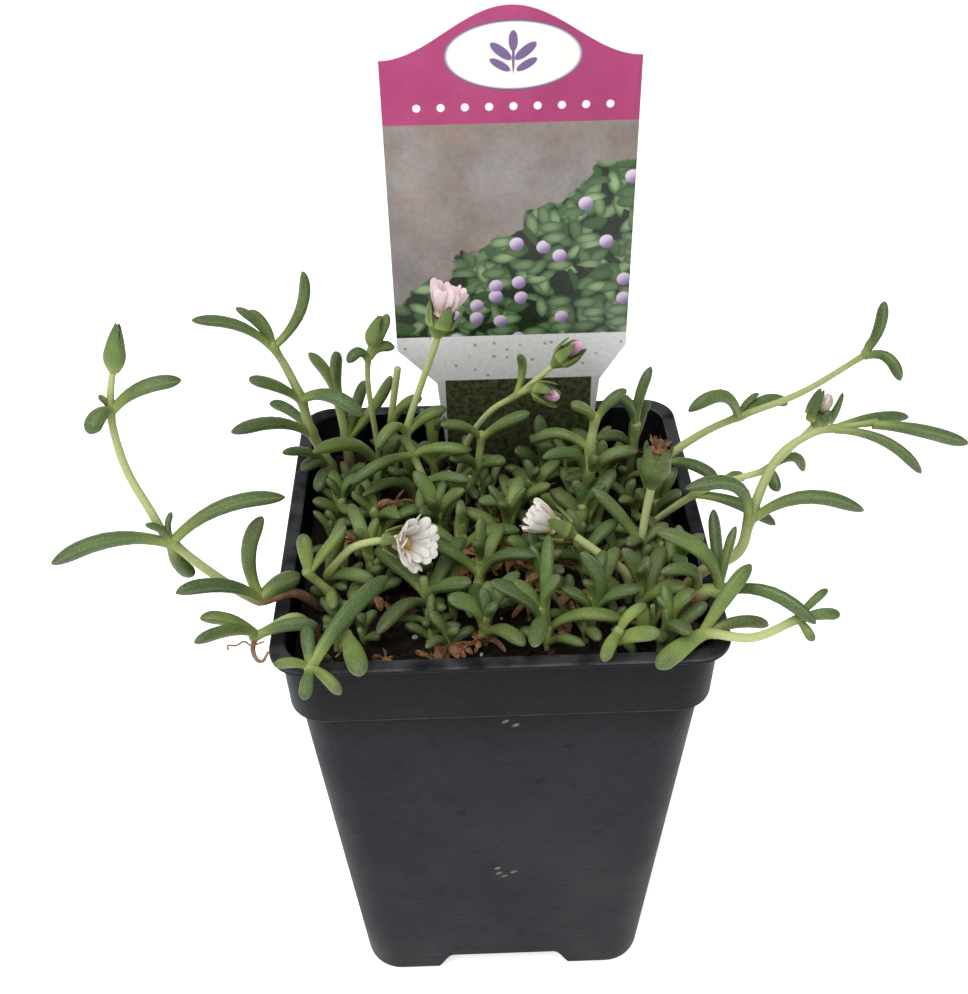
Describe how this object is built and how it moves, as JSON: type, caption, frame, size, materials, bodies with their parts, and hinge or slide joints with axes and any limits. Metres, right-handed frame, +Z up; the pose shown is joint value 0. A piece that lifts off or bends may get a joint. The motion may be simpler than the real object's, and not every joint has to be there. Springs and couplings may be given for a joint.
{
  "type": "potted ice plant",
  "caption": "Mat-forming succulent with finger-shaped leaves, arching runners and small daisy-like flowers in a square tapered nursery pot, with an arched plant label.",
  "frame": {"origin": "centre of the pot's foot, on the surface that the pot stands on", "axes": "+Z up, the front of the pot towards -Y, the label's printed side facing the front"},
  "size_m": [0.1697, 0.0968, 0.212],
  "materials": {
    "pot_plastic": "matte",
    "soil_peat": "matte",
    "tag_card": "satin",
    "leaf_green": "matte",
    "petal_white": "satin",
    "petal_pink": "satin",
    "bud_pink": "satin",
    "stamen_yellow": "matte",
    "dry_brown": "matte"
  },
  "bodies": {
    "root": {"capsule_crown": "dry_brown", "flower_left_petals": "petal_white", "flower_left_stamens": "stamen_yellow", "flower_right_petals": "petal_white", "flower_right_stamens": "stamen_yellow", "pale_bud_petals": "petal_white", "pink_bud_lower_petals": "bud_pink", "pink_bud_upper_petals": "bud_pink", "pink_flower_petals": "petal_pink", "pink_flower_stamens": "stamen_yellow", "pot": "pot_plastic", "runner_left": "leaf_green", "runner_right": "leaf_green", "runner_right_front": "leaf_green", "runner_right_low": "leaf_green", "shoot_back_left": "leaf_green", "shoot_back_right": "leaf_green", "shoot_centre_back": "leaf_green", "shoot_centre_tall": "leaf_green", "shoot_front_left": "leaf_green", "shoot_front_left_broad": "leaf_green", "shoot_front_right": "leaf_green", "shoot_left_back": "leaf_green", "shoot_left_inner": "leaf_green", "shoot_left_low": "leaf_green", "shoot_right_arched": "leaf_green", "short_back_centre": "leaf_green", "short_back_left": "leaf_green", "short_centre": "leaf_green", "short_centre_back_pair": "leaf_green", "short_centre_far": "leaf_green", "short_centre_left": "leaf_green", "short_centre_right": "leaf_green", "short_centre_upright": "leaf_green", "short_front_centre": "leaf_green", "short_front_centre_left": "leaf_green", "short_front_edge": "leaf_green", "short_front_edge_left": "leaf_green", "short_front_edge_right": "leaf_green", "short_front_right_corner": "leaf_green", "short_front_right_inner": "leaf_green", "short_left_edge": "leaf_green", "short_left_middle": "leaf_green", "short_left_of_centre": "leaf_green", "short_middle": "leaf_green", "short_middle_front": "leaf_green", "short_right_back_edge": "leaf_green", "short_right_edge": "leaf_green", "short_right_middle": "leaf_green", "short_right_of_centre": "leaf_green", "soil": "soil_peat", "stalk_bare": "leaf_green", "stalk_capsule": "leaf_green", "stalk_flower_left": "leaf_green", "stalk_flower_right": "leaf_green", "stalk_green_bud": "leaf_green", "stalk_pale_bud": "leaf_green", "stalk_pink_buds": "leaf_green", "stalk_pink_flower": "leaf_green", "tag": "tag_card"}
  },
  "joints": []
}
